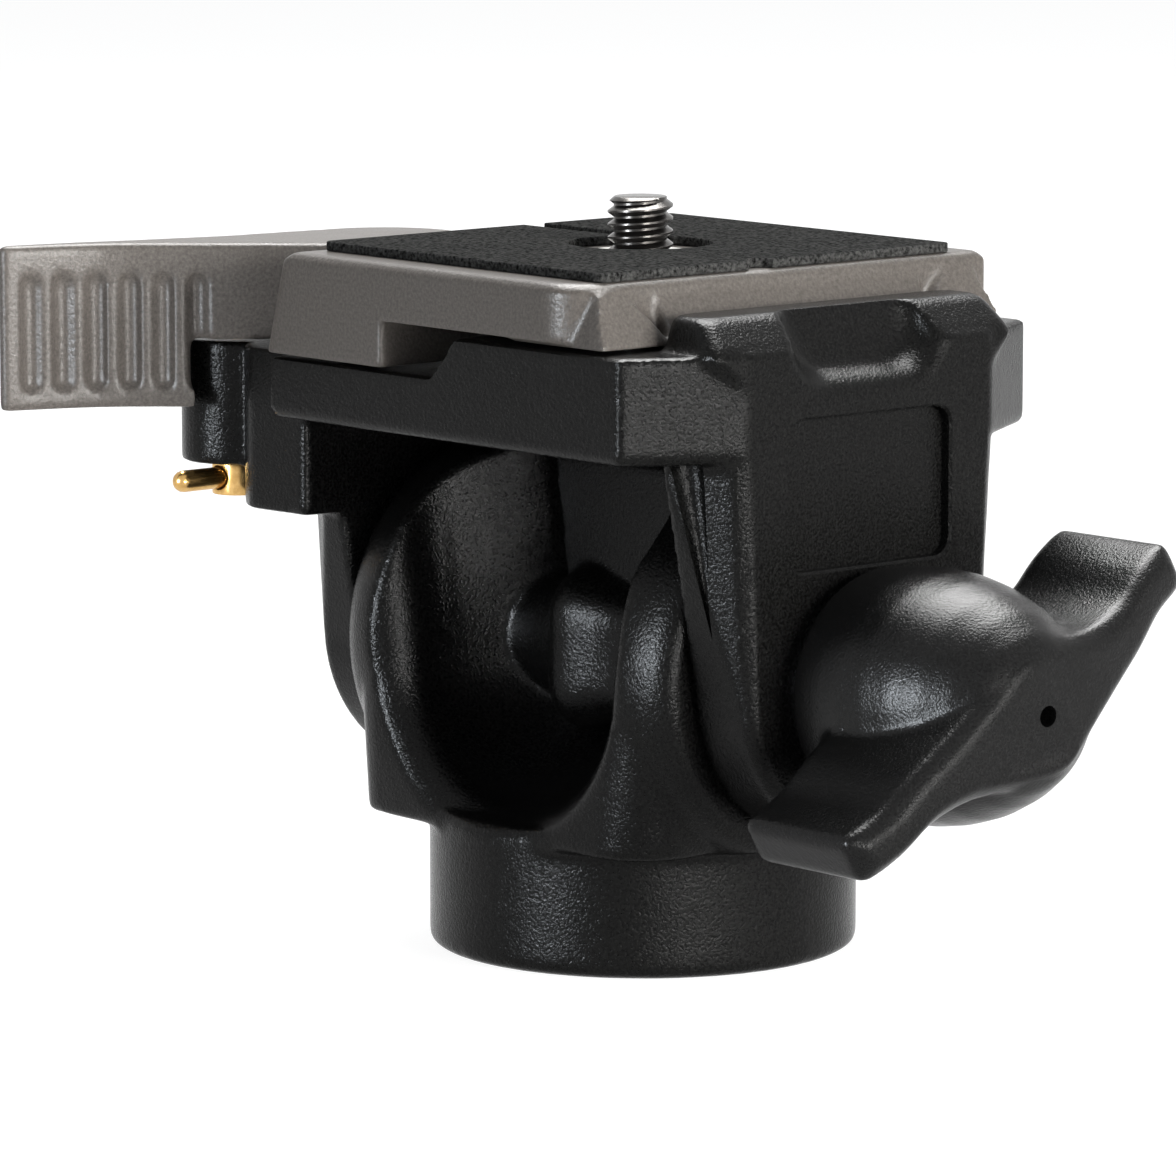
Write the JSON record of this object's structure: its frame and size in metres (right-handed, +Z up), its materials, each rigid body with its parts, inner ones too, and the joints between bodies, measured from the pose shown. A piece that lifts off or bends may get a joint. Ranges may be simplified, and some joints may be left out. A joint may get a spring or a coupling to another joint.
{
  "type": "monopod tilt head",
  "caption": "Tilt head for a monopod: a quick-release camera plate held by a sprung lever with a safety plunger, on a head that tilts between two lobes and is locked by a winged knob.",
  "frame": {"origin": "centre of the foot's underside, on the monopod's axis", "axes": "+X along the tilt axis towards the knob, +Y towards the back, +Z up through the camera screw's side"},
  "size_m": [0.1054, 0.0673, 0.0727],
  "materials": {
    "black_paint": "black satin powder coat with a fine grain on cast alloy",
    "grey_paint": "warm grey satin paint on cast alloy",
    "rubber": "fine grained dark grey rubber",
    "dark_steel": "blackened steel with a light sheen",
    "bright_steel": "plain bright steel",
    "brass": "turned brass",
    "nylon": "matt off-white nylon",
    "moulded_plastic": "black moulded plastic with a fine grain"
  },
  "bodies": {
    "base": {"base_casting": "black_paint", "monopod_bush": "bright_steel", "friction_washer_right": "nylon", "friction_washer_left": "nylon"},
    "head": {"head_casting": "black_paint", "quick_plate": "grey_paint", "plate_pad": "rubber", "screw_retainer": "nylon", "lever_pivot_screw": "dark_steel", "lever_pivot_washer": "bright_steel", "lever_spring": "bright_steel", "safety_spring": "bright_steel", "clamp_bolt": "dark_steel", "bolt_washer": "bright_steel", "thrust_washer": "bright_steel"},
    "knob": {"knob": "moulded_plastic", "knob_nut": "bright_steel"},
    "lever": {"lock_lever": "grey_paint"},
    "plunger": {"safety_plunger": "brass", "safety_arm": "brass"},
    "camera_screw": {"camera_screw": "dark_steel", "screw_ring": "bright_steel"}
  },
  "joints": [
    {"name": "head_tilt", "type": "hinge", "parent": "base", "child": "head", "pos_m": [0, 0, 0.029], "axis": [1, 0, 0], "range_deg": [-90, 90]},
    {"name": "knob_turn", "type": "hinge", "parent": "head", "child": "knob", "pos_m": [0.04, 0, 0.029], "axis": [1, 0, 0], "continuous": true},
    {"name": "lever_swing", "type": "hinge", "parent": "head", "child": "lever", "pos_m": [-0.036, -0.0055, 0.06], "axis": [0, 0, -1], "range_deg": [0, 60], "stiffness_Nm_per_rad": 0.05, "springref_deg": -17.19},
    {"name": "safety_pull", "type": "slide", "parent": "head", "child": "plunger", "axis": [0, 0, -1], "range_m": [0, 0.003], "stiffness_N_per_m": 300, "springref_m": -0.002, "deforming": ["safety_spring"]},
    {"name": "camera_screw_turn", "type": "hinge", "parent": "head", "child": "camera_screw", "pos_m": [-0.0005, 0, 0.065], "axis": [0, 0, 1], "continuous": true}
  ]
}
